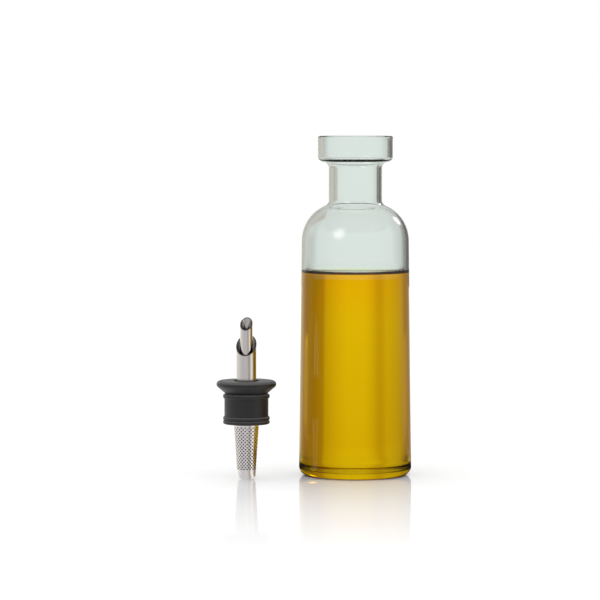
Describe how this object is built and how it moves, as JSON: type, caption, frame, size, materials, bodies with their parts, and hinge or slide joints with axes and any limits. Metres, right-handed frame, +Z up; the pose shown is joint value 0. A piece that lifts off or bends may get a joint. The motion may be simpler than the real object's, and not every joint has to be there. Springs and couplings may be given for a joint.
{
  "type": "oil dispenser",
  "caption": "Clear glass oil bottle with a round shoulder and a wide collar, part-filled with golden oil, its silicone pouring stopper with slanted steel spout and strainer standing beside it.",
  "frame": {"origin": "middle of the bottle's foot, on the table", "axes": "+Z up along the bottle, -Y towards the viewer, -X towards the pouring stopper"},
  "size_m": [0.1242, 0.0792, 0.217],
  "materials": {
    "bottle_glass": "clear smooth glass with a faint grey-green tint",
    "golden_oil": "clear golden olive oil",
    "black_silicone": "soft matt black silicone",
    "satin_steel": "satin stainless steel drawn along the tube",
    "strainer_steel": "satin stainless steel, perforated"
  },
  "bodies": {
    "root": {"bottle": "bottle_glass", "oil": "golden_oil", "stopper": "black_silicone", "spout_outer": "satin_steel", "spout_inner": "satin_steel", "strainer": "strainer_steel"}
  },
  "joints": []
}
